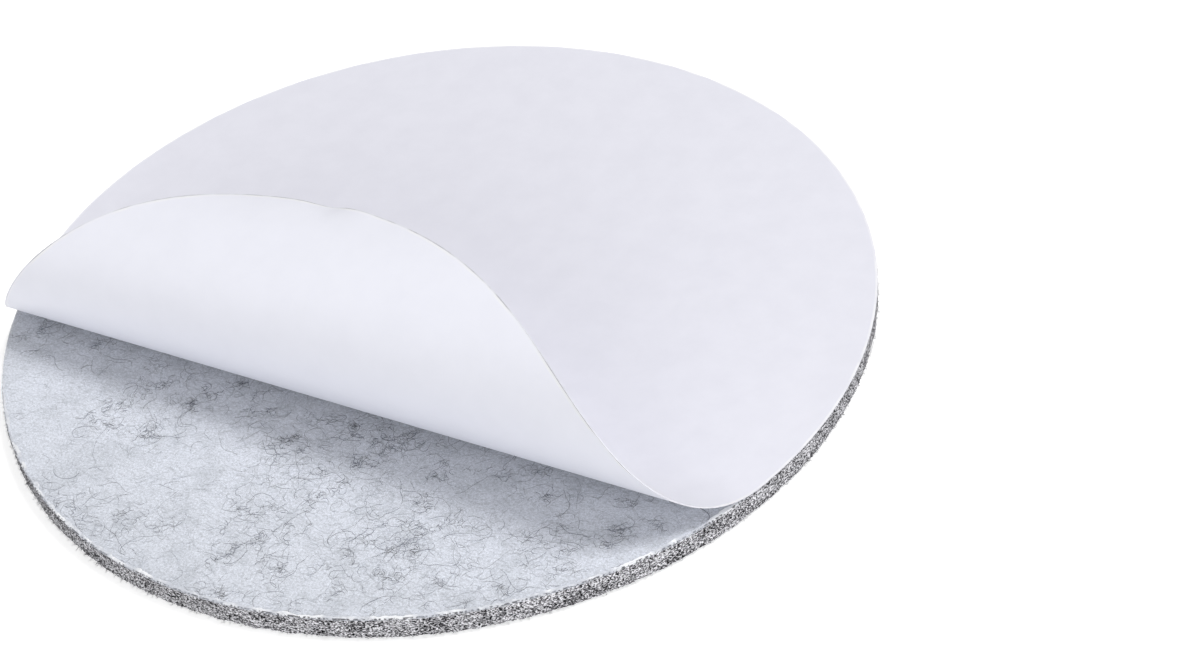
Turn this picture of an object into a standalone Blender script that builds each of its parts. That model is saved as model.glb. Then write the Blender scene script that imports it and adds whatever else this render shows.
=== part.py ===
"""Round self-adhesive felt furniture pad with its release liner half peeled.

Three layers, cut to one outline: a disc of needle-punched felt, a clear adhesive
film bonded to its upper face, and a paper release liner that still covers the back
of the film. The front of the liner has been peeled up and curls back over itself,
in a bend that is tight at the left end of the peel line and wide at the right.

Units are metres, +Z is up. The origin is the centre of the felt's underside, the
face that slides on the floor. The peel line runs along X and the bared adhesive
faces -Y.
"""

import math

import bmesh
import bpy

# Driving dimensions

PAD_DIAMETER = 0.100
FELT_THICKNESS = 0.00265
FELT_RIM_ROUND = 0.0004
FILM_THICKNESS = 0.00015
LINER_THICKNESS = 0.00012

# Clearance between one bonded layer and the next
LAYER_GAP = 0.00005

# Distance from the pad's centre to the line where the liner leaves the adhesive
PEEL_OFFSET = 0.01445

# Radius of the first, tight bend at the two ends of the peel line
BEND_RADIUS_LEFT = 0.0070
BEND_RADIUS_RIGHT = 0.0123

# How far the liner has turned when the tight bend ends, and the radius after it
BEND_TURN = math.radians(141.3)
FLAP_RADIUS = 0.0156

# Fineness of the outline, and of the grid that lets the flap bend
OUTLINE_SEGMENTS = 144
FLAP_ROWS = 32
FLAP_COLUMNS = 20

# Heights of the layers

FILM_BOTTOM = FELT_THICKNESS + LAYER_GAP
FILM_TOP = FILM_BOTTOM + FILM_THICKNESS
LINER_BOTTOM = FILM_TOP + LAYER_GAP

PAD_RADIUS = PAD_DIAMETER / 2
PEEL_HALF_CHORD = math.sqrt(PAD_RADIUS**2 - PEEL_OFFSET**2)
PEELED_LENGTH = PAD_RADIUS - PEEL_OFFSET


def clear_scene():
    for obj in list(bpy.data.objects):
        bpy.data.objects.remove(obj, do_unlink=True)


def make_material(name, color, roughness):
    material = bpy.data.materials.new(name)
    material.use_nodes = True
    shader = material.node_tree.nodes["Principled BSDF"]
    shader.inputs["Base Color"].default_value = (*color, 1.0)
    shader.inputs["Roughness"].default_value = roughness
    shader.inputs["Metallic"].default_value = 0.0
    material.diffuse_color = (*color, 1.0)
    return material


def add_object(name, bm, material, collection, parent, height):
    mesh = bpy.data.meshes.new(name)
    bm.to_mesh(mesh)
    bm.free()
    mesh.materials.append(material)
    obj = bpy.data.objects.new(name, mesh)
    obj.location.z = height
    obj.parent = parent
    collection.objects.link(obj)
    return obj


def disc(thickness):
    """Closed disc of the pad's outline that stands on z = 0."""
    bm = bmesh.new()
    bmesh.ops.create_cone(
        bm,
        cap_ends=True,
        cap_tris=False,
        segments=OUTLINE_SEGMENTS,
        radius1=PAD_RADIUS,
        radius2=PAD_RADIUS,
        depth=thickness,
    )
    bmesh.ops.translate(bm, verts=bm.verts, vec=(0.0, 0.0, thickness / 2))
    for face in bm.faces:
        face.smooth = abs(face.normal.z) < 0.5
    return bm


def bend_radius(x):
    """Radius of the tight bend at x: it widens evenly along the peel line."""
    along = (x + PEEL_HALF_CHORD) / (2 * PEEL_HALF_CHORD)
    return BEND_RADIUS_LEFT + (BEND_RADIUS_RIGHT - BEND_RADIUS_LEFT) * along


def curl(x, peeled):
    """Where a point of the liner goes that lay `peeled` in front of the peel line.

    Returns its distance in front of the peel line and its height, once the paper
    has run round the tight bend and then along the gentler curve of the flap.
    """
    radius = bend_radius(x)
    if peeled <= radius * BEND_TURN:
        turn = peeled / radius
        return radius * math.sin(turn), radius * (1 - math.cos(turn))
    turn = BEND_TURN + (peeled - radius * BEND_TURN) / FLAP_RADIUS
    reach = radius * math.sin(BEND_TURN)
    reach += FLAP_RADIUS * (math.sin(turn) - math.sin(BEND_TURN))
    height = radius * (1 - math.cos(BEND_TURN))
    height += FLAP_RADIUS * (math.cos(BEND_TURN) - math.cos(turn))
    return reach, height


def divide_flap(bm, point, normal):
    """Cut the peeled part of the sheet along one straight line."""
    flap = [face for face in bm.faces if face.calc_center_median().y < -PEEL_OFFSET]
    edges = {edge for face in flap for edge in face.edges}
    verts = {vert for face in flap for vert in face.verts}
    bmesh.ops.bisect_plane(
        bm,
        geom=flap + list(edges) + list(verts),
        dist=1e-6,
        plane_co=point,
        plane_no=normal,
    )


def liner_sheet():
    """Sheet of the pad's outline, flat on the film and curled past the peel line."""
    bm = bmesh.new()
    bmesh.ops.create_circle(
        bm, cap_ends=True, segments=OUTLINE_SEGMENTS, radius=PAD_RADIUS
    )
    bmesh.ops.bisect_plane(
        bm,
        geom=bm.faces[:] + bm.edges[:] + bm.verts[:],
        dist=1e-6,
        plane_co=(0.0, -PEEL_OFFSET, 0.0),
        plane_no=(0.0, 1.0, 0.0),
    )
    for row in range(1, FLAP_ROWS):
        y = -PEEL_OFFSET - PEELED_LENGTH * row / FLAP_ROWS
        divide_flap(bm, (0.0, y, 0.0), (0.0, 1.0, 0.0))
    for column in range(1, FLAP_COLUMNS):
        x = PEEL_HALF_CHORD * (2 * column / FLAP_COLUMNS - 1)
        divide_flap(bm, (x, 0.0, 0.0), (1.0, 0.0, 0.0))
    for vert in bm.verts:
        peeled = -PEEL_OFFSET - vert.co.y
        if peeled > 0:
            reach, height = curl(vert.co.x, peeled)
            vert.co.y = -PEEL_OFFSET - reach
            vert.co.z = height
    for face in bm.faces:
        face.smooth = True
    for edge in bm.edges:
        edge.smooth = not edge.is_boundary
    return bm


clear_scene()

collection = bpy.data.collections.new("felt_furniture_pad")
bpy.context.scene.collection.children.link(collection)
root = bpy.data.objects.new("pad_origin", None)
root.empty_display_size = PAD_RADIUS
collection.objects.link(root)

felt_material = make_material("heather_grey_felt", (0.36, 0.365, 0.38), 1.0)
film_material = make_material("clear_adhesive", (0.66, 0.69, 0.75), 0.35)
liner_material = make_material("siliconed_paper", (0.82, 0.82, 0.86), 0.5)

# Felt disc, with its lower rim worn round

felt_bm = disc(FELT_THICKNESS)
rim_weight = felt_bm.edges.layers.float.new("bevel_weight_edge")
for edge in felt_bm.edges:
    if all(vert.co.z < FELT_THICKNESS / 2 for vert in edge.verts):
        edge[rim_weight] = 1.0
felt = add_object("felt_disc", felt_bm, felt_material, collection, root, 0.0)
rim = felt.modifiers.new("soft_rim", "BEVEL")
rim.limit_method = "WEIGHT"
rim.width = FELT_RIM_ROUND
rim.segments = 3

# Adhesive film over the whole upper face

add_object(
    "adhesive_film", disc(FILM_THICKNESS), film_material, collection, root, FILM_BOTTOM
)

# Release liner, one sheet of paper

liner = add_object(
    "release_liner", liner_sheet(), liner_material, collection, root, LINER_BOTTOM
)
paper = liner.modifiers.new("paper_thickness", "SOLIDIFY")
paper.thickness = LINER_THICKNESS
paper.offset = 1.0
paper.use_even_offset = True
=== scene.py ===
# %% [markdown]
# # A felt furniture pad with its release liner half peeled
#
# The pad lies with its sticky side up. It has three layers of one round outline:
# needle-punched felt, a clear adhesive film, and the paper liner that protects the
# film. The front of the liner has been lifted, so the sheet curls back over itself and
# the felt shows through the bare film.
#
# The CAD model is the fixed frame. It settles every size and place, and this script
# gives each layer the surface of the real one.

# %% Load the frame
import math
import random

import bpy
from mathutils import Matrix, Vector, noise


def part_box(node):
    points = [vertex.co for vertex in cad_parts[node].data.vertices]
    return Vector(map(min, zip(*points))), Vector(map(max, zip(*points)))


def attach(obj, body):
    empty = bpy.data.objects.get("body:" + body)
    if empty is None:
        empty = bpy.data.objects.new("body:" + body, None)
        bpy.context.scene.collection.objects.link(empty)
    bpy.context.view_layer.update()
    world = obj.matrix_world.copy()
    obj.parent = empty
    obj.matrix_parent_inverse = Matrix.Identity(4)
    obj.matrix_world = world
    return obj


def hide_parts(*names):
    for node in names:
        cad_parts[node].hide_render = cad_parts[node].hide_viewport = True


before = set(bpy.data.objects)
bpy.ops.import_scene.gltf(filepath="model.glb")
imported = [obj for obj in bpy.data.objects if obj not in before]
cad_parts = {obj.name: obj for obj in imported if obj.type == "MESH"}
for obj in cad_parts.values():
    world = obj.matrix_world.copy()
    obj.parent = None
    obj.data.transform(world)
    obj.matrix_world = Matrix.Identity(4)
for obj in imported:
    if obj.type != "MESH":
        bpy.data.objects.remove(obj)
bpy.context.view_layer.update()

print("CAD nodes:", sorted(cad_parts))

# %% [markdown]
# ## Sizes
#
# Heights and the outline are read from the CAD nodes, so that every layer lies where
# the model puts it. The curl of the liner can't be read from a box. Its five numbers
# are repeated here: the place of the peel line, the radius of the tight bend at both
# ends of that line, how far the paper turns in it, and the radius of the rest. So is
# the thickness of the paper.

# %% Read the layers and repeat the curl
MM = 0.001
PAD_RADIUS = float(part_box("felt_disc")[1][0])
FELT_TOP = float(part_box("felt_disc")[1][2])
FILM_BOTTOM, FILM_TOP = (float(corner[2]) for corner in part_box("adhesive_film"))
LINER_BOTTOM = float(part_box("release_liner")[0][2])

PEEL_OFFSET = 14.45 * MM
BEND_LEFT = 7.0 * MM
BEND_RIGHT = 12.3 * MM
BEND_TURN = math.radians(141.3)
FLAP_RADIUS = 15.6 * MM
PAPER = 0.12 * MM
PEEL_HALF_CHORD = math.sqrt(PAD_RADIUS**2 - PEEL_OFFSET**2)

print(f"outline radius {PAD_RADIUS / MM:.1f} mm, felt top {FELT_TOP / MM:.2f} mm")

# %% [markdown]
# ## Camera
#
# The photograph is a telephoto product shot, taken from 39 degrees above the
# horizon with the camera rolled 11 degrees. A long lens keeps the far rim of the
# disc almost as wide as the near one. The camera comes first, because every later
# choice of detail depends on how large a millimetre is in the picture.

# %% Place the camera
AZIMUTH = math.radians(37.02)
ELEVATION = math.radians(38.894)
DISTANCE = 379.78 * MM
YAW, PITCH, ROLL = (math.radians(a) for a in (2.671, -0.996, -11.166))

target = Vector((0.0, 0.0, FILM_TOP))
outward = Vector(
    (
        math.sin(AZIMUTH) * math.cos(ELEVATION),
        -math.cos(AZIMUTH) * math.cos(ELEVATION),
        math.sin(ELEVATION),
    )
)
level_right = Vector((math.cos(AZIMUTH), math.sin(AZIMUTH), 0.0))
level_up = level_right.cross(-outward)
forward = -outward + math.tan(YAW) * level_right + math.tan(PITCH) * level_up
forward.normalize()
right = forward.cross(level_up).normalized()
up = right.cross(forward)
rolled_right = math.cos(ROLL) * right + math.sin(ROLL) * up
rolled_up = -math.sin(ROLL) * right + math.cos(ROLL) * up

camera_data = bpy.data.cameras.new("product_camera")
camera_data.lens = 100.0
camera_data.sensor_width = 36.0
camera_data.clip_start = 0.01
camera = bpy.data.objects.new("product_camera", camera_data)
bpy.context.scene.collection.objects.link(camera)
turn = Matrix((rolled_right, rolled_up, -forward)).transposed()
camera.matrix_world = Matrix.Translation(target + DISTANCE * outward) @ turn.to_4x4()
bpy.context.scene.camera = camera
print("camera at", [round(x, 3) for x in camera.location])

# %% [markdown]
# ## Studio
#
# The pad was shot on a white sweep under large soft lights. The main one stands high
# on the right and a little behind the fold, which leaves the bare felt under the curl
# in shade. A weaker one in front, left of the camera, keeps the near side of the curl
# pale, and a low one on the right reaches in under the wide end of the curl.
#
# The floor is matte and takes the object's shadow. It adds some white of its own, but
# only for the camera and for mirror and see-through rays. So it reads as paper white,
# while the pad's matte surfaces get none of that light.

# %% Lay the floor
FLOOR_DROP = 0.3 * MM


def deselect():
    bpy.ops.object.select_all(action="DESELECT")


deselect()
bpy.ops.mesh.primitive_plane_add(size=6.0, location=(0.0, 0.0, -FLOOR_DROP))
floor = bpy.context.object
floor.name = "floor"
print("floor:", round(floor.dimensions.x, 1), "by", round(floor.dimensions.y, 1), "m")

# %% Paint the floor
FLOOR_GLOW = 0.60

paint = bpy.data.materials.new("white_sweep")
paint.use_nodes = True
tree = paint.node_tree
tree.nodes.clear()
output = tree.nodes.new("ShaderNodeOutputMaterial")
sum_of_both = tree.nodes.new("ShaderNodeAddShader")
matte = tree.nodes.new("ShaderNodeBsdfDiffuse")
matte.inputs["Color"].default_value = (0.8, 0.8, 0.8, 1.0)
glow = tree.nodes.new("ShaderNodeEmission")
rays = tree.nodes.new("ShaderNodeLightPath")
seen = rays.outputs["Is Camera Ray"]
for kind in ("Is Glossy Ray", "Is Transmission Ray"):
    either = tree.nodes.new("ShaderNodeMath")
    either.operation = "MAXIMUM"
    tree.links.new(seen, either.inputs[0])
    tree.links.new(rays.outputs[kind], either.inputs[1])
    seen = either.outputs[0]
strength = tree.nodes.new("ShaderNodeMath")
strength.operation = "MULTIPLY"
strength.inputs[1].default_value = FLOOR_GLOW
tree.links.new(seen, strength.inputs[0])
tree.links.new(strength.outputs[0], glow.inputs["Strength"])
tree.links.new(matte.outputs[0], sum_of_both.inputs[0])
tree.links.new(glow.outputs[0], sum_of_both.inputs[1])
tree.links.new(sum_of_both.outputs[0], output.inputs["Surface"])
floor.data.materials.append(paint)
print("floor finish:", len(tree.nodes), "nodes")

# %% Room light, lamps and view
ROOM_LIGHT = 0.358
MIDDLE = (0.0, 0.0, 0.0)


def soft_lamp(name, place, aim, size, watts):
    """A round area lamp that points at aim."""
    data = bpy.data.lights.new(name, "AREA")
    data.shape = "DISK"
    data.size = size
    data.energy = watts
    lamp = bpy.data.objects.new(name, data)
    bpy.context.scene.collection.objects.link(lamp)
    lamp.location = place
    towards = Vector(aim) - Vector(place)
    lamp.rotation_euler = towards.to_track_quat("-Z", "Y").to_euler()


world = bpy.data.worlds.new("pale_room")
world.use_nodes = True
sky = world.node_tree.nodes["Background"]
sky.inputs["Color"].default_value = (1.0, 1.0, 1.0, 1.0)
sky.inputs["Strength"].default_value = ROOM_LIGHT
bpy.context.scene.world = world

soft_lamp("overhead_softbox", place=(1.0, 0.66, 2.46), aim=MIDDLE, size=1.0, watts=40.4)
soft_lamp("right_softbox", place=(1.08, -0.18, 0.26), aim=MIDDLE, size=0.4, watts=3.0)
soft_lamp("front_fill", place=(0.25, -1.0, 0.42), aim=(0.0, 0.0, 0.01), size=0.8, watts=3.95)
bpy.context.scene.view_settings.view_transform = "Standard"

# %% [markdown]
# ## Node helpers
#
# Every finish below is a Principled shader with procedural textures that read Object
# coordinates in metres, so a scale of 1000 is one feature a millimetre. A few short
# helpers keep the node trees readable: a noise, a stretch of its range, a ramp of
# colours, a mix of two colours, a sum or product, and a bump.

# %% A finish and its nodes
def new_finish(name, **sockets):
    """A new Principled material and its shader, with these sockets set."""
    finish = bpy.data.materials.new(name)
    finish.use_nodes = True
    shader = finish.node_tree.nodes["Principled BSDF"]
    for socket, value in sockets.items():
        shader.inputs[socket.replace("_", " ")].default_value = value
    return finish, shader


def add_node(finish, kind, inputs=None, **settings):
    """A node whose inputs are linked where they are given a socket, and else set."""
    node = finish.node_tree.nodes.new(kind)
    for key, value in settings.items():
        setattr(node, key, value)
    for key, value in (inputs or {}).items():
        if isinstance(value, bpy.types.NodeSocket):
            finish.node_tree.links.new(value, node.inputs[key])
        else:
            node.inputs[key].default_value = value
    return node


def object_coords(finish):
    """Where a point of the piece lies, in metres."""
    return add_node(finish, "ShaderNodeTexCoord").outputs["Object"]


# %% Textures and sums
def speckle(finish, coords, scale, detail, roughness=0.5, output="Fac"):
    """Noise, with values about one half."""
    inputs = {"Vector": coords, "Scale": scale, "Detail": detail, "Roughness": roughness}
    return add_node(finish, "ShaderNodeTexNoise", inputs).outputs[output]


def stretch(finish, value, low, high, to_low=0.0, to_high=1.0):
    """The range from low to high spread over another range, and held at its ends."""
    inputs = {"Value": value, "From Min": low, "From Max": high, "To Min": to_low, "To Max": to_high}
    return add_node(finish, "ShaderNodeMapRange", inputs).outputs["Result"]


def ramp(finish, factor, stops):
    """A colour that runs through the stops, each a place and a colour."""
    node = add_node(finish, "ShaderNodeValToRGB", {"Fac": factor})
    elements = node.color_ramp.elements
    while len(elements) < len(stops):
        elements.new(0.5)
    for element, (place, colour) in zip(elements, stops):
        element.position = place
        element.color = (*colour, 1.0)
    return node.outputs["Color"]


def mix(finish, factor, first, second):
    """The first colour where the factor is 0, and the second where it is 1."""
    inputs = {"Factor": factor, "A": first, "B": second}
    return add_node(finish, "ShaderNodeMix", inputs, data_type="RGBA").outputs["Result"]


def combine(finish, operation, first, second):
    """Two numbers added or multiplied."""
    return add_node(finish, "ShaderNodeMath", {0: first, 1: second}, operation=operation).outputs[0]


def vector_node(finish, operation, inputs):
    """A sum, product or length of vectors."""
    return add_node(finish, "ShaderNodeVectorMath", inputs, operation=operation)


# %% Links to the shader
def paint_base(finish, shader, colour):
    finish.node_tree.links.new(colour, shader.inputs["Base Color"])


def emboss(finish, shader, height, strength, distance):
    """Fine relief in the shading, too small for the mesh."""
    inputs = {"Height": height, "Strength": strength, "Distance": distance}
    bump = add_node(finish, "ShaderNodeBump", inputs)
    finish.node_tree.links.new(bump.outputs[0], shader.inputs["Normal"])


# %% [markdown]
# ## Felt
#
# The felt is a mat of pale polyester with a little dark fibre carded into it. Its
# faces are flat and cloudy, crossed by fine curly hairs. Its die-cut side shows the
# fibres end on, which gives a rough salt-and-pepper wall with no smooth edge.
#
# A cylinder with a finely divided wall gives the rough side real relief: a Displace
# modifier moves only the wall, by a vertex group, and the flat faces stay flat. A
# remesh of the whole disc would spend most of its faces where nothing happens.

# %% Model the felt disc
WALL_COLUMNS = 1440
WALL_ROWS = 12
RIM_ROUND = 0.4 * MM

deselect()
bpy.ops.mesh.primitive_cylinder_add(
    vertices=WALL_COLUMNS,
    radius=PAD_RADIUS,
    depth=FELT_TOP,
    end_fill_type="NGON",
    location=(0.0, 0.0, FELT_TOP / 2),
)
felt = bpy.context.object
felt.name = felt.data.name = "felt_pad"
bpy.ops.object.transform_apply(location=True, rotation=True, scale=True)


def select_edges(piece, wanted):
    """Selects in edit mode the edges whose two ends satisfy wanted."""
    bpy.ops.object.mode_set(mode="EDIT")
    bpy.ops.mesh.select_mode(type="EDGE")
    bpy.ops.mesh.select_all(action="DESELECT")
    bpy.ops.object.mode_set(mode="OBJECT")
    points = piece.data.vertices
    for edge in piece.data.edges:
        edge.select = wanted(*(points[i].co for i in edge.vertices))
    bpy.ops.object.mode_set(mode="EDIT")


select_edges(felt, lambda a, b: max(a.z, b.z) < FELT_TOP / 2)
bpy.ops.mesh.bevel(offset=RIM_ROUND, segments=3, affect="EDGES")
bpy.ops.object.mode_set(mode="OBJECT")
select_edges(felt, lambda a, b: abs(a.z - b.z) > FELT_TOP / 2)
bpy.ops.mesh.subdivide(number_cuts=WALL_ROWS - 1)
bpy.ops.object.mode_set(mode="OBJECT")
print("felt disc:", len(felt.data.polygons), "faces")

# %% Roughen the cut side
wall = felt.vertex_groups.new(name="cut_side")
for vertex in felt.data.vertices:
    height = vertex.co.z / FELT_TOP
    on_rim = height < 1e-3 or height > 1 - 1e-3
    wall.add([vertex.index], 0.0 if on_rim else 1.0, "REPLACE")


def roughen(piece, name, grain, depth):
    """Moves the cut side in and out by a noise of this grain, and applies it."""
    cloud = bpy.data.textures.new(name, "CLOUDS")
    cloud.noise_scale = grain
    cloud.noise_depth = 2
    lumps = piece.modifiers.new(name, "DISPLACE")
    lumps.texture = cloud
    lumps.texture_coords = "LOCAL"
    lumps.vertex_group = "cut_side"
    lumps.strength = depth
    lumps.mid_level = 0.5
    deselect()
    bpy.context.view_layer.objects.active = piece
    bpy.ops.object.modifier_apply(modifier=name)


roughen(felt, "uneven_cut", 2.2 * MM, 0.22 * MM)
roughen(felt, "fibre_ends", 0.33 * MM, 0.30 * MM)

# Flatness is 1 on a face that lies level and 0 on one that stands upright.
SMOOTH_BELOW = 0.9
FLAT_ABOVE = 0.97
for face in felt.data.polygons:
    flatness = abs(face.normal.z)
    face.use_smooth = flatness < SMOOTH_BELOW
    face.material_index = 0 if flatness > FLAT_ABOVE else 1
print("felt box:", [round(x / MM, 2) for x in felt.dimensions])

# %% [markdown]
# The face of the felt is painted in layers: faint clouds where the web is thick or
# thin, short flecks where a hair dips in and out of the surface, and a fine grain.
# The flecks come from a noise that is bent a little by a second one and stretched
# nearly three times along the fold. Two sets of them lie over each other.

# %% Finish of the felt's faces
face_finish, shader = new_finish("felt_face", Roughness=1.0, Specular_IOR_Level=0.15)
coords = object_coords(face_finish)


def flecks(angle, darkness):
    """Low on short dark dashes along X and 1 elsewhere. Each angle gives its own set."""
    swirl = speckle(face_finish, coords, 300.0, 2.0, output="Color")
    bent = vector_node(face_finish, "SCALE", {0: swirl, "Scale": 3.0 * MM})
    moved = vector_node(face_finish, "ADD", {0: coords, 1: bent.outputs[0]})
    turned = add_node(
        face_finish,
        "ShaderNodeMapping",
        {
            "Vector": moved.outputs[0],
            "Rotation": (0.0, 0.0, math.radians(angle)),
            "Scale": (1.0, 2.8, 1.0),
        },
    )
    dashes = speckle(face_finish, turned.outputs[0], 1100.0, 3.0, 0.6)
    return stretch(face_finish, dashes, 0.30, 0.46, darkness)


CLOUD_STOPS = (
    (0.33, (0.645, 0.672, 0.726)),
    (0.50, (0.753, 0.78, 0.842)),
    (0.62, (0.77, 0.797, 0.861)),
)
clouds = ramp(face_finish, speckle(face_finish, coords, 230.0, 6.0, 0.6), CLOUD_STOPS)
grain = speckle(face_finish, coords, 4200.0, 3.0, 0.75)
shade = stretch(face_finish, grain, 0.3, 0.7, 0.68, 1.20)
for marks in (flecks(25.0, 0.77), flecks(-50.0, 0.80)):
    shade = combine(face_finish, "MULTIPLY", shade, marks)
tinted = vector_node(face_finish, "SCALE", {0: clouds, "Scale": shade})
paint_base(face_finish, shader, tinted.outputs[0])
emboss(face_finish, shader, grain, 0.6, 0.06 * MM)
felt.data.materials.append(face_finish)
print("felt face:", len(face_finish.node_tree.nodes), "nodes")

# %% [markdown]
# On the cut side the fibres are seen end on, as specks a quarter of a millimetre
# across, from near black to near white. The darkest specks are partly dark fibre ends
# and partly painted shade in the gaps between the ends. A fine noise with a steep
# four-step ramp gives that salt and pepper. It is squeezed in height, because the fibres
# lie in layers, and a slower noise makes some places a little darker than others.

# %% Finish of the felt's cut side
side_finish, shader = new_finish("felt_cut_side", Roughness=1.0, Specular_IOR_Level=0.1)
# The two darkest stops are partly dark fibre ends and partly painted shade between them.
SIDE_STOPS = (
    (0.40, (0.006, 0.006, 0.006)),
    (0.465, (0.10, 0.097, 0.108)),
    (0.53, (0.485, 0.482, 0.51)),
    (0.59, (0.92, 0.915, 0.955)),
)
squeeze = {"Vector": object_coords(side_finish), "Scale": (1.0, 1.0, 1.7)}
layered = add_node(side_finish, "ShaderNodeMapping", squeeze).outputs[0]
ends = speckle(side_finish, layered, 3900.0, 2.0, 0.7)
blotches = speckle(side_finish, layered, 420.0, 3.0)
uneven = stretch(side_finish, blotches, 0.3, 0.7, -0.04, 0.04)
salt_and_pepper = ramp(side_finish, combine(side_finish, "ADD", ends, uneven), SIDE_STOPS)
paint_base(side_finish, shader, salt_and_pepper)
emboss(side_finish, shader, ends, 0.7, 0.15 * MM)
felt.data.materials.append(side_finish)

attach(felt, "root")
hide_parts("felt_disc")
print("felt finishes:", [m.name for m in felt.data.materials])

# %% [markdown]
# ## Dark fibres
#
# The hairs that catch the eye are real strands, from 1 to 7 mm long. Each one is a
# short walk whose heading drifts, which gives arcs, hooks and loops. Most of them are
# strewn by chance, more densely where a slow noise is high. Short dark ends gather in
# knots, as carded fibre does. Chance places the small knots, and the thickest ones of
# the bared face stand in a list. A fine fuzz stands out from the cut side.
#
# The strands of one set go into one curve object with a three-sided profile, which
# costs six triangles a step, and become one mesh.

# %% A wandering strand
random.seed(41)
BEND_DRIFT = 0.45
HEADING_DRIFT = 0.18


def wander(start, heading, steps, step, tightest):
    """Points of a strand whose curvature drifts and stays below 1 / tightest."""
    points = []
    bend = random.uniform(-1, 1) / tightest
    place = Vector(start)
    for _ in range(steps + 1):
        points.append(place.copy())
        bend += random.gauss(0, BEND_DRIFT) / tightest
        bend = max(-1 / tightest, min(1 / tightest, bend))
        heading += bend * step + random.gauss(0, HEADING_DRIFT)
        place.x += step * math.cos(heading)
        place.y += step * math.sin(heading)
    return points


print("drift a step: bend", BEND_DRIFT, "and heading", HEADING_DRIFT)


# %% Sweep strands into one mesh
def fibre_profile():
    """Small triangle that is swept along every strand."""
    data = bpy.data.curves.new("fibre_profile", "CURVE")
    ring = data.splines.new("POLY")
    ring.points.add(2)
    for point, angle in zip(ring.points, (90, 210, 330)):
        a = math.radians(angle)
        point.co = (math.cos(a), math.sin(a), 0.0, 1.0)
    ring.use_cyclic_u = True
    profile = bpy.data.objects.new("fibre_profile", data)
    bpy.context.scene.collection.objects.link(profile)
    return profile


def sweep(name, strands, finish):
    """One mesh of strands, each (points, radius), thinner towards its ends."""
    profile = fibre_profile()
    data = bpy.data.curves.new(name, "CURVE")
    data.dimensions = "3D"
    data.bevel_mode = "OBJECT"
    data.bevel_object = profile
    for points, radius in strands:
        spline = data.splines.new("POLY")
        spline.points.add(len(points) - 1)
        for i, (point, place) in enumerate(zip(spline.points, points)):
            point.co = (*place, 1.0)
            along = i / (len(points) - 1)
            point.radius = radius * (0.35 + 0.65 * math.sin(math.pi * along) ** 0.5)
    piece = bpy.data.objects.new(name, data)
    bpy.context.scene.collection.objects.link(piece)
    deselect()
    piece.select_set(True)
    bpy.context.view_layer.objects.active = piece
    bpy.ops.object.convert(target="MESH")
    piece = bpy.context.object
    bpy.data.objects.remove(profile, do_unlink=True)
    piece.data.materials.append(finish)
    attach(piece, "root")
    print(f"{name}: {len(strands)} strands, {len(piece.data.polygons)} faces")
    return piece


# %% Where strands may lie, and how densely
BEHIND_PEEL = 4 * MM
RIM_MARGIN = 0.25 * MM
EVEN_SHARE = 0.45

# The slow noise has clumps of about 11 mm and the quick one of about 3 mm. This origin
# puts the slow clumps about where the photograph has them.
SLOW_CLUMPS = 90.0
QUICK_CLUMPS = 320.0
CROWD_ORIGIN = Vector((21.5, 162.5, 0.0))


def anywhere(x, y):
    return math.hypot(x, y) < PAD_RADIUS


def bare(x, y):
    """In front of the peel line, or close behind it."""
    return y < -PEEL_OFFSET + BEHIND_PEEL and anywhere(x, y)


def inside_rim(strands):
    """The strands that stay clear of the rim all along."""
    limit = PAD_RADIUS - RIM_MARGIN
    return [s for s in strands if all(math.hypot(p.x, p.y) < limit for p in s[0])]


def crowd(x, y, height):
    """Clumps of the web, which is denser towards +X and at the narrow end of the curl."""
    place = Vector((x, y, height))
    slow = noise.noise(place * SLOW_CLUMPS + CROWD_ORIGIN)
    quick = 0.7 * noise.noise(place * QUICK_CLUMPS)
    at_narrow_end = math.exp(-(((x + 40 * MM) / (9 * MM)) ** 2) - ((y + 19 * MM) / (4 * MM)) ** 2)
    return slow + quick + 0.15 * x / PAD_RADIUS + 0.5 * at_narrow_end


def chance_place(allowed, height, crowding):
    """A place where the face may carry a strand, more often where the web is crowded."""
    while True:
        x, y = (random.uniform(-PAD_RADIUS, PAD_RADIUS) for _ in range(2))
        if allowed(x, y) and random.random() <= EVEN_SHARE + crowding * crowd(x, y, height):
            return x, y


print("crowding at the middle of the bare felt:", round(crowd(0.0, -30 * MM, FELT_TOP), 2))


# %% Single hairs
def loose_strands(count, allowed, height, radius, crowding, step, tightest, steps=(4, 11)):
    """Single hairs, crowded where a slow noise is high."""
    strands = []
    while len(strands) < count:
        x, y = chance_place(allowed, height, crowding)
        curl = tightest * random.uniform(0.8, 2.2)
        heading = random.uniform(0, math.tau)
        points = wander((x, y, height), heading, random.randint(*steps), step, curl)
        strands.append((points, radius * random.uniform(0.5, 1.1)))
    return inside_rim(strands)


# %% Knots
KNOT_STEP = 0.20 * MM
KNOT_CURL = 0.35 * MM


def knot(x, y, height, radius, spread, slant, ends):
    """Short thick hair ends, strewn about one place along one slant."""
    strands = []
    for _ in range(ends):
        along = random.gauss(0, spread)
        across = random.gauss(0, 0.45 * spread)
        start = (
            x + along * math.cos(slant) - across * math.sin(slant),
            y + along * math.sin(slant) + across * math.cos(slant),
            height,
        )
        heading = slant + random.gauss(0, 0.9)
        points = wander(start, heading, random.randint(3, 7), KNOT_STEP, KNOT_CURL)
        strands.append((points, radius * random.uniform(0.5, 1.1)))
    return strands


def chance_knots(count, allowed, height, radius):
    """Small dark knots in chance places, crowded where a slow noise is high."""
    strands = []
    for _ in range(count):
        x, y = chance_place(allowed, height, 1.2)
        spread = random.uniform(0.25, 0.9) * MM
        slant = random.uniform(0, math.tau)
        strands += knot(x, y, height, radius, spread, slant, random.randint(5, 15))
    return inside_rim(strands)


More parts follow.
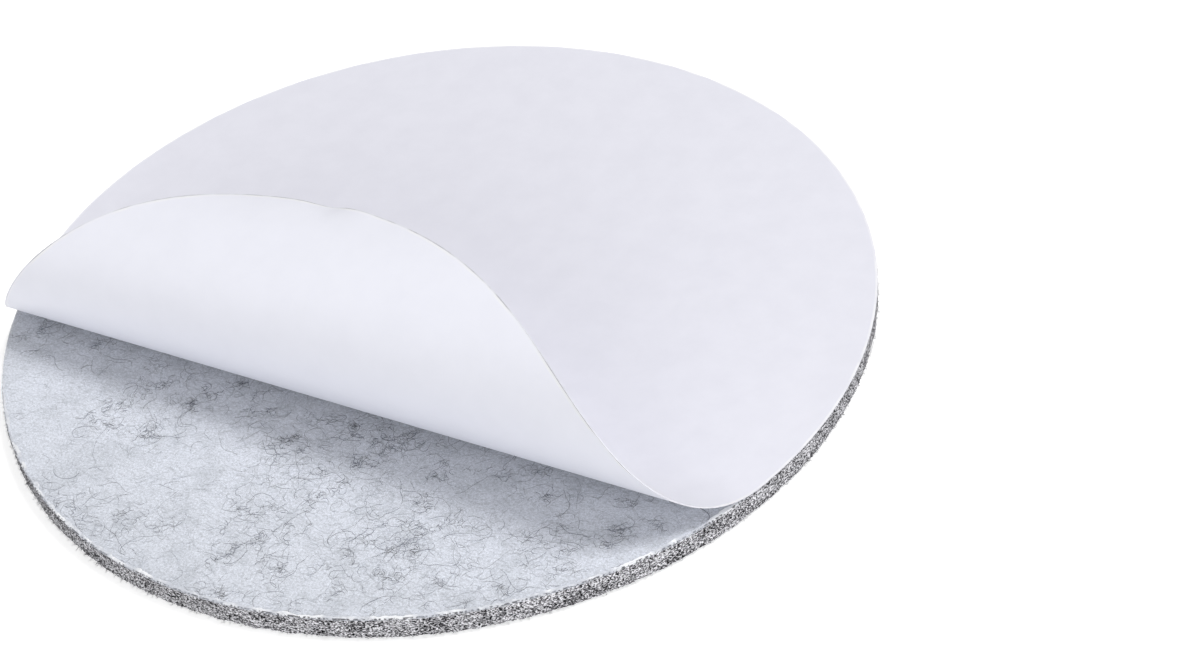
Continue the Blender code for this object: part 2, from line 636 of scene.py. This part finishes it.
# %% The thickest knots
# They lie here on the bared face, in millimetres.
THICK_KNOTS = (
    (-42.0, -19.5), (-34.5, -19.5), (-26.5, -20.0), (-23.0, -23.0), (-17.0, -22.0), (-25.0, -30.5),
    (-9.5, -23.0), (-4.5, -25.5), (2.5, -22.0), (5.5, -25.5), (8.5, -20.5), (14.0, -25.0),
    (19.5, -22.5), (27.0, -23.5), (35.5, -21.0), (36.5, -25.5), (28.0, -30.0), (16.0, -32.5),
    (3.0, -32.5), (-3.5, -36.5), (17.0, -40.0), (23.0, -38.5),
)
THICK_SPREAD = 0.8 * MM


def thick_knots(height, radius):
    """The knots that catch the eye, drawn out roughly along the fold."""
    strands = []
    for x, y in THICK_KNOTS:
        slant = random.gauss(0, 0.5)
        ends = random.randint(16, 24)
        strands += knot(x * MM, y * MM, height, radius, THICK_SPREAD, slant, ends)
    return inside_rim(strands)


print("thick knots:", len(THICK_KNOTS))

# %% Fuzz of the cut side
ROOT_RADIUS = PAD_RADIUS - 0.08 * MM
EDGE_GAP = 0.03 * MM


def fuzz(count, radius):
    """Short ends that stand out all round from the cut side."""
    strands = []
    for _ in range(count):
        around = random.uniform(0, math.tau)
        lean = around + random.gauss(0, 0.7)
        step = random.uniform(0.05, 0.19) * MM
        height = (0.04 + 0.9 * random.random() ** 1.5) * FELT_TOP
        place = Vector((ROOT_RADIUS * math.cos(around), ROOT_RADIUS * math.sin(around), height))
        rise = random.gauss(-0.15, 0.35) * step
        points = []
        for _ in range(4):
            points.append(place.copy())
            lean += random.gauss(0, 0.25)
            place.x += step * math.cos(lean)
            place.y += step * math.sin(lean)
            place.z = min(max(place.z + rise, EDGE_GAP), FELT_TOP - EDGE_GAP)
        strands.append((points, radius * random.uniform(0.6, 1.2)))
    return strands


# %% Finishes of the hairs
def fibre_finish(name, dark, pale):
    """Matte hair that drifts between two shades along its length."""
    finish, shader = new_finish(name, Roughness=0.85)
    tone = speckle(finish, object_coords(finish), 700.0, 2.0)
    paint_base(finish, shader, ramp(finish, tone, ((0.38, dark), (0.62, pale))))
    return finish


pale_hair = fibre_finish("pale_hair", (0.105, 0.12, 0.155), (0.395, 0.43, 0.50))
dark_hair = fibre_finish("dark_hair", (0.004, 0.005, 0.009), (0.055, 0.066, 0.105))
cut_hair = fibre_finish("cut_hair", (0.03, 0.03, 0.03), (0.50, 0.51, 0.53))
print("hair finishes:", [m.name for m in (pale_hair, dark_hair, cut_hair)])

# %% Strew the strands
# The middle of each strand lies a little outside the face that it belongs to.
TOP_LEVEL = FELT_TOP + 0.008 * MM
LOW_LEVEL = -0.008 * MM

# One curled hair lies where the wide end of the curl comes down to the felt. Its
# points are in millimetres.
HOOK = (
    (42.3, -19.2), (43.1, -19.3), (43.9, -19.5), (44.5, -19.8),
    (44.8, -20.15), (44.9, -20.5), (44.7, -20.75),
)
curl_hair = [Vector((x * MM, y * MM, TOP_LEVEL)) for x, y in HOOK]

web = loose_strands(
    2600, bare, TOP_LEVEL, radius=0.013 * MM, crowding=0.6, step=0.25 * MM, tightest=0.55 * MM
)
short_hairs = loose_strands(
    1080,
    bare,
    TOP_LEVEL,
    radius=0.024 * MM,
    crowding=1.3,
    step=0.24 * MM,
    tightest=0.5 * MM,
    steps=(5, 13),
)
long_hairs = loose_strands(
    90,
    bare,
    TOP_LEVEL,
    radius=0.028 * MM,
    crowding=0.5,
    step=0.30 * MM,
    tightest=0.9 * MM,
    steps=(12, 22),
)
upper_knots = chance_knots(145, bare, TOP_LEVEL, 0.030 * MM)
upper_knots += thick_knots(TOP_LEVEL, 0.030 * MM)
under_hairs = loose_strands(
    3200, anywhere, LOW_LEVEL, radius=0.017 * MM, crowding=1.6, step=0.36 * MM, tightest=1.0 * MM
)
under_knots = chance_knots(200, anywhere, LOW_LEVEL, 0.027 * MM)
side_fuzz = fuzz(6500, 0.018 * MM)
print("long hairs:", len(long_hairs))

# %% Make the strands
fibres = [
    sweep("upper_web", web, pale_hair),
    sweep("upper_hairs", short_hairs + long_hairs + [(curl_hair, 0.06 * MM)], dark_hair),
    sweep("upper_knots", upper_knots, dark_hair),
    sweep("under_hairs", under_hairs, dark_hair),
    sweep("under_knots", under_knots, dark_hair),
    sweep("side_fuzz", side_fuzz, cut_hair),
]

# %% [markdown]
# ## Adhesive film
#
# The adhesive is a clear layer little thicker than a hair. It wets the felt, and it
# shows only as a faint milky gloss. Its die-cut edge is frosted, and it is the thin
# bright line along the upper rim, with bits of dark fibre stuck to the very cut.
#
# The film is its own disc. An inset draws a narrow rim on its upper face, and the
# inner border of that rim is then moved in and out by a noise, because real frost
# has no even width.

# %% Model the adhesive film
FROST_WIDTH = 0.38 * MM
FROST_WAVE = 0.25 * MM

deselect()
bpy.ops.mesh.primitive_cylinder_add(
    vertices=WALL_COLUMNS,
    radius=PAD_RADIUS,
    depth=FILM_TOP - FILM_BOTTOM,
    end_fill_type="NGON",
    location=(0.0, 0.0, (FILM_TOP + FILM_BOTTOM) / 2),
)
film = bpy.context.object
film.name = film.data.name = "adhesive_sheet"
bpy.ops.object.transform_apply(location=True, rotation=True, scale=True)
bpy.ops.object.mode_set(mode="EDIT")
bpy.ops.mesh.select_mode(type="FACE")
bpy.ops.mesh.select_all(action="DESELECT")
bpy.ops.object.mode_set(mode="OBJECT")
for face in film.data.polygons:
    face.select = face.normal.z > 0.9
bpy.ops.object.mode_set(mode="EDIT")
bpy.ops.mesh.inset(thickness=FROST_WIDTH)
bpy.ops.object.mode_set(mode="OBJECT")
for vertex in film.data.vertices:
    flat = vertex.co.to_2d()
    if flat.length < PAD_RADIUS - 0.05 * MM:
        wave = noise.noise(vertex.co * 900.0) + 0.6 * noise.noise(vertex.co * 3000.0)
        flat *= 1 + FROST_WAVE * wave / flat.length
        vertex.co.x, vertex.co.y = flat
print("film:", len(film.data.polygons), "faces,", f"{(FILM_TOP - FILM_BOTTOM) / MM:.2f} mm")

# %% [markdown]
# The clear face is nine tenths see-through, with a soft gloss. Real transmission would
# darken the felt for no gain, as the film is so thin.
#
# The frost is far denser than that. It comes and goes along the rim, and it fades
# towards the left, where the photograph shows hardly any. Dark grit sits only on the
# outermost tenth of a millimetre, which a distance from the pad's axis picks out.

# %% Finish of the clear face
film_finish, shader = new_finish(
    "clear_adhesive", Roughness=0.32, Alpha=0.10, IOR=1.47, Specular_IOR_Level=0.5
)
ripple = speckle(film_finish, object_coords(film_finish), 900.0, 3.0)
milk = ramp(film_finish, ripple, ((0.3, (0.84, 0.87, 0.92)), (0.7, (0.93, 0.95, 1.0))))
paint_base(film_finish, shader, milk)
emboss(film_finish, shader, ripple, 0.35, 0.06 * MM)
film.data.materials.append(film_finish)
print("clear face:", len(film_finish.node_tree.nodes), "nodes")

# %% Finish of the frosted rim
FROST_STOPS = ((0.38, (0.76, 0.78, 0.83)), (0.56, (0.95, 0.96, 0.98)))
FADED_AT = -42 * MM
FULL_FROM = -26 * MM
GRIT = (0.10, 0.10, 0.11, 1.0)

edge_finish, shader = new_finish("frosted_cut_edge", Roughness=0.5)
coords = object_coords(edge_finish)
haze = speckle(edge_finish, coords, 450.0, 4.0)
frost = ramp(edge_finish, haze, FROST_STOPS)
cover = stretch(edge_finish, haze, 0.40, 0.56, 0.50, 0.95)
sides = add_node(edge_finish, "ShaderNodeSeparateXYZ", {"Vector": coords})
clear_left = stretch(edge_finish, sides.outputs["X"], FADED_AT, FULL_FROM, 0.25)
frosted = combine(edge_finish, "MULTIPLY", cover, clear_left)
edge_finish.node_tree.links.new(frosted, shader.inputs["Alpha"])

dots = stretch(edge_finish, speckle(edge_finish, coords, 3300.0, 1.0), 0.47, 0.54)
across = vector_node(edge_finish, "MULTIPLY", {0: coords, 1: (1.0, 1.0, 0.0)})
reach = vector_node(edge_finish, "LENGTH", {0: across.outputs[0]}).outputs["Value"]
outermost = stretch(edge_finish, reach, PAD_RADIUS - 0.16 * MM, PAD_RADIUS - 0.05 * MM)
gritty = combine(edge_finish, "MULTIPLY", dots, outermost)
paint_base(edge_finish, shader, mix(edge_finish, gritty, frost, GRIT))
film.data.materials.append(edge_finish)

# The one large face is the clear one, and all the small ones belong to the rim.
CLEAR_AREA = 1e-4
for face in film.data.polygons:
    face.use_smooth = False
    face.material_index = 0 if face.area > CLEAR_AREA else 1
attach(film, "root")
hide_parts("adhesive_film")
print("film finishes:", [m.name for m in film.data.materials])

# %% [markdown]
# ## Release liner
#
# The liner is one sheet of thin paper with a siliconed inner side. It starts as a
# flat square grid, which is rounded into the pad's outline row by row, so that its
# rim is a true circle and all its faces stay four-sided. Each point stores how far it
# lies from the rim of the flat sheet, and keeps that number when the sheet is rolled.

# %% Round a grid into the outline
ROWS = 180
deselect()
bpy.ops.mesh.primitive_grid_add(
    x_subdivisions=ROWS, y_subdivisions=ROWS, size=2.0, location=(0.0, 0.0, 0.0)
)
liner = bpy.context.object
liner.name = liner.data.name = "liner_sheet"
for vertex in liner.data.vertices:
    u, v = vertex.co.x, vertex.co.y
    vertex.co.x = PAD_RADIUS * u * math.sqrt(1 - v * v / 2)
    vertex.co.y = PAD_RADIUS * v * math.sqrt(1 - u * u / 2)
from_rim = liner.data.attributes.new("from_rim", "FLOAT", "POINT")
for vertex in liner.data.vertices:
    from_rim.data[vertex.index].value = PAD_RADIUS - vertex.co.to_2d().length
print("liner grid:", len(liner.data.polygons), "faces")

# %% [markdown]
# Paper isn't one even white: its pulp is faintly clouded, and it has a fine tooth. A
# painted highlight runs along the rim of the sheet on both faces, as a line of brighter
# paper just inside the cut. On the siliconed side a thin painted grey line of shade lies
# at the very rim, with the highlight just inside it. Both lines follow the distance from
# the rim, and a slow noise makes them come and go. The two faces of the sheet and its
# cut each get a finish of their own.

# %% Finishes of the paper
# Colours of the painted highlight along the rim of the paper and of the painted shade line at its
# very rim.
PAINTED_HIGHLIGHT = (0.95, 0.95, 0.975, 1.0)
PAINTED_SHADE_LINE = (0.54, 0.54, 0.58, 1.0)


def paper_finish(name, low, high, highlight_width, shade_line_width=0.0, **sockets):
    """Softly mottled paper with a painted highlight along its rim, and maybe a painted shade line at
    the very rim.
    """
    finish, shader = new_finish(name, **sockets)
    coords = object_coords(finish)
    cloud = speckle(finish, coords, 260.0, 5.0, 0.6)
    distance = add_node(finish, "ShaderNodeAttribute", attribute_name="from_rim").outputs["Fac"]
    strength = stretch(finish, speckle(finish, coords, 330.0, 2.0), 0.38, 0.60, 0.25)
    # Painted highlight: brighter paper near the rim.
    band = stretch(finish, distance, 0.5 * highlight_width, highlight_width, strength, 0.0)
    shade = mix(finish, band, ramp(finish, cloud, ((0.35, low), (0.65, high))), PAINTED_HIGHLIGHT)
    # Painted shade line at the very rim, laid over the highlight.
    if shade_line_width:
        line = stretch(finish, distance, 0.7 * shade_line_width, 1.3 * shade_line_width, strength, 0.0)
        shade = mix(finish, line, shade, PAINTED_SHADE_LINE)
    paint_base(finish, shader, shade)
    emboss(finish, shader, cloud, 0.09, 0.2 * MM)
    return finish


# Both faces get the painted highlight along the rim, and only the siliconed side gets the painted
# shade line.
paper_back = paper_finish(
    "paper_back",
    low=(0.808, 0.808, 0.884),
    high=(0.833, 0.833, 0.909),
    highlight_width=0.3 * MM,
    Roughness=0.7,
)
siliconed_side = paper_finish(
    "siliconed_side",
    low=(0.893, 0.90, 0.978),
    high=(0.912, 0.919, 0.997),
    highlight_width=0.5 * MM,
    shade_line_width=0.13 * MM,
    Roughness=0.45,
)
# The cut is grey, partly as cut paper is and partly as painted shade along the edge.
paper_cut, shader = new_finish("paper_cut", Roughness=0.8)
pulp = speckle(paper_cut, object_coords(paper_cut), 1200.0, 2.0)
pulp_and_edge_shade_stops = ((0.35, (0.68, 0.68, 0.73)), (0.65, (0.77, 0.77, 0.82)))
paint_base(paper_cut, shader, ramp(paper_cut, pulp, pulp_and_edge_shade_stops))
for finish in (paper_back, siliconed_side, paper_cut):
    liner.data.materials.append(finish)
print("liner finishes:", [m.name for m in liner.data.materials])

# %% [markdown]
# Each point past the peel line is now rolled: first round a tight bend that widens
# from left to right, and after it along a gentler curve. A point keeps its distance
# from the peel line along the sheet, and the sheet keeps its area, so the cut size
# stays true without a simulation. The widening bend does skew the flap somewhat, which
# real paper avoids by turning its folds a little.
#
# The free edge also has a small dip, and the narrow tip flares out a little. The sheet
# was laid on 0.2 mm off centre, as the rims in the photograph show.
#
# Solidify then gives the paper its thickness, and hands out the three finishes: the
# first to the back, the second to the siliconed side and the third to the cut.

# %% The shape of the curl
def roll(x, peeled):
    """Distance in front of the peel line and height, for paper that far past it."""
    along = (x + PEEL_HALF_CHORD) / (2 * PEEL_HALF_CHORD)
    radius = BEND_LEFT + (BEND_RIGHT - BEND_LEFT) * along
    if peeled <= radius * BEND_TURN:
        turn = peeled / radius
        return radius * math.sin(turn), radius * (1 - math.cos(turn))
    turn = BEND_TURN + (peeled - radius * BEND_TURN) / FLAP_RADIUS
    reach = radius * math.sin(BEND_TURN)
    reach += FLAP_RADIUS * (math.sin(turn) - math.sin(BEND_TURN))
    rise = radius * (1 - math.cos(BEND_TURN))
    rise += FLAP_RADIUS * (math.cos(BEND_TURN) - math.cos(turn))
    return reach, rise


def climb(value, start, end):
    """0 up to start, 1 from end on, and a straight rise between them."""
    return min(max((value - start) / (end - start), 0.0), 1.0)


def dent(x, inward):
    """Small lift or dip of the free edge, which fades into the sheet."""
    along = x / MM
    dip_width = 3.0 if along < -5.0 else 1.7
    dip = -0.40 * math.exp(-(((along + 5.0) / dip_width) ** 2))
    lift = 0.14 * math.exp(-(((along + 0.5) / 2.2) ** 2))
    wave = 0.06 * math.sin(along / 5.0 + 1.0)
    return (dip + lift + wave) * MM * math.exp(-inward / (1.3 * MM))


middle_of_edge = roll(0.0, PAD_RADIUS - PEEL_OFFSET)
print(f"the middle of the free edge lies {middle_of_edge[1] / MM:.1f} mm up")

# %% Roll the peeled part
OFF_CENTRE = 0.2 * MM
TIP_FLARE = 0.6 * MM
for vertex in liner.data.vertices:
    x, y = vertex.co.x, vertex.co.y
    peeled = -PEEL_OFFSET - y
    reach, rise = roll(x, peeled) if peeled > 0 else (peeled, 0.0)
    rise += climb(peeled, 12 * MM, 20 * MM) * dent(x, PAD_RADIUS - math.hypot(x, y))
    at_tip = climb(-x, 38 * MM, 47 * MM) * climb(peeled, 0.0, 4 * MM)
    vertex.co = (x + OFF_CENTRE - TIP_FLARE * at_tip, -PEEL_OFFSET - reach, LINER_BOTTOM + rise)
print("liner lifted by", round(max(v.co.z for v in liner.data.vertices) / MM, 2), "mm")

# %% Give the paper its thickness
paper = liner.modifiers.new("paper", "SOLIDIFY")
paper.thickness = PAPER
paper.offset = 1.0
paper.material_offset = 1
paper.material_offset_rim = 2
deselect()
bpy.context.view_layer.objects.active = liner
bpy.ops.object.modifier_apply(modifier="paper")

liner.select_set(True)
bpy.ops.object.shade_smooth_by_angle(angle=math.radians(40))
liner.select_set(False)
print("liner box:", [round(x / MM, 2) for x in liner.dimensions])

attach(liner, "root")
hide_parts("release_liner")
